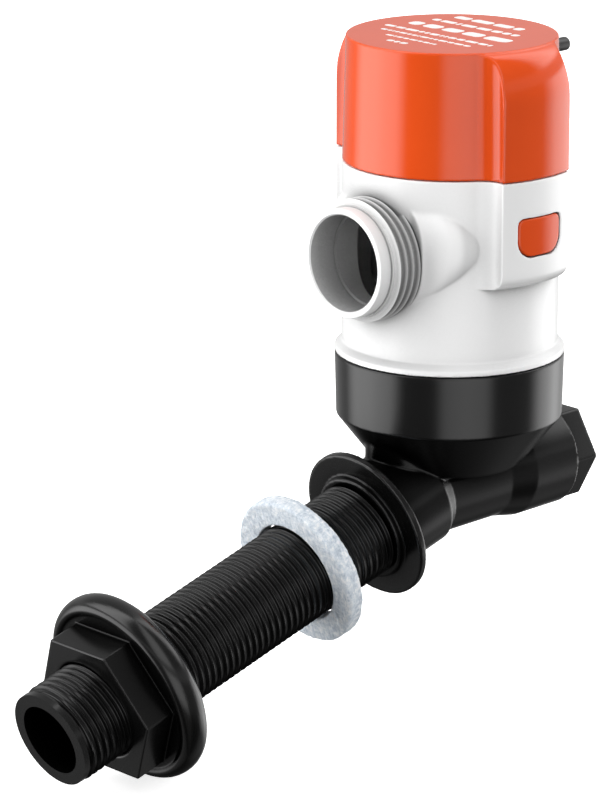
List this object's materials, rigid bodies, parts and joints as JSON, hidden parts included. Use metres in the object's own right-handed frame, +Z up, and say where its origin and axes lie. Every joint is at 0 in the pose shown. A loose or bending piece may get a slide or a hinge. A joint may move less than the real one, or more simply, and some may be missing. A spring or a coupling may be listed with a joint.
{
  "type": "bilge pump",
  "caption": "Cartridge bilge pump: upright cylindrical motor body with a threaded side outlet, on a black base with a long threaded through-hull intake, nut and felt washer.",
  "frame": {"origin": "centre of the flat top of the orange cap, on the upright axis of the motor", "axes": "+Z up along the motor axis, -X the way the outlet and the threaded intake point, +Y to the side with the left release tab"},
  "size_m": [0.1854, 0.0676, 0.1783],
  "materials": {
    "black_plastic": "moulded, semi-gloss",
    "white_plastic": "moulded, gloss",
    "orange_plastic": "moulded, gloss",
    "felt": "pressed fibre",
    "seal_rubber": "matt",
    "cable_sheath": "soft PVC",
    "red_wire": "soft PVC",
    "plated_steel": "zinc plated, drawn",
    "shaft_steel": "ground",
    "lamination_steel": "stacked sheet",
    "ferrite": "sintered, matt",
    "copper": "enamelled and bare copper",
    "bronze": "sintered bronze",
    "carbon": "graphite",
    "nylon": "moulded, matt"
  },
  "bodies": {
    "base": {"intake_base": "black_plastic", "base_seal": "seal_rubber"},
    "housing": {"pump_housing": "white_plastic"},
    "cartridge": {"cartridge_cap": "orange_plastic", "motor_well": "black_plastic", "cartridge_seal": "seal_rubber", "motor_can": "plated_steel", "magnet_left": "ferrite", "magnet_right": "ferrite", "end_bell": "nylon", "brush_left": "carbon", "brush_right": "carbon", "brush_spring_left": "bronze", "brush_spring_right": "bronze", "upper_bearing": "bronze", "lower_bearing": "bronze", "shaft_seal": "seal_rubber", "cable_gland": "seal_rubber", "power_cable": "cable_sheath", "lead_positive": "red_wire", "lead_negative": "cable_sheath"},
    "rotor": {"motor_shaft": "shaft_steel", "armature_core": "lamination_steel", "winding_1": "copper", "winding_2": "copper", "winding_3": "copper", "commutator": "copper", "impeller": "nylon"},
    "tab_left": {"release_tab_left": "orange_plastic"},
    "tab_right": {"release_tab_right": "orange_plastic"},
    "nut": {"hull_nut": "black_plastic"},
    "washer": {"felt_washer": "felt"},
    "plug": {"port_plug": "black_plastic", "plug_seal": "seal_rubber"}
  },
  "joints": [
    {"name": "housing_swivel", "type": "hinge", "parent": "base", "child": "housing", "pos_m": [0, 0, -0.0847], "axis": [0, 0, 1], "range_deg": [-180, 180]},
    {"name": "cartridge_lift", "type": "slide", "parent": "housing", "child": "cartridge", "axis": [0, 0, 1], "range_m": [0, 0.126]},
    {"name": "rotor_spin", "type": "hinge", "parent": "cartridge", "child": "rotor", "pos_m": [0, 0, -0.0615], "axis": [0, 0, 1], "continuous": true},
    {"name": "tab_left_press", "type": "slide", "parent": "cartridge", "child": "tab_left", "axis": [0, -1, 0], "range_m": [0, 0.0022], "stiffness_N_per_m": 1500},
    {"name": "tab_right_press", "type": "slide", "parent": "cartridge", "child": "tab_right", "axis": [0, 1, 0], "range_m": [0, 0.0022], "stiffness_N_per_m": 1500},
    {"name": "nut_travel", "type": "slide", "parent": "base", "child": "nut", "axis": [0.9536, 0, 0.301], "range_m": [-0.03, 0.052]},
    {"name": "washer_travel", "type": "slide", "parent": "base", "child": "washer", "axis": [0.9536, 0, 0.301], "range_m": [-0.052, 0.018]},
    {"name": "plug_travel", "type": "slide", "parent": "base", "child": "plug", "axis": [0.9995, 0, 0.0332], "range_m": [0, 0.016]}
  ]
}
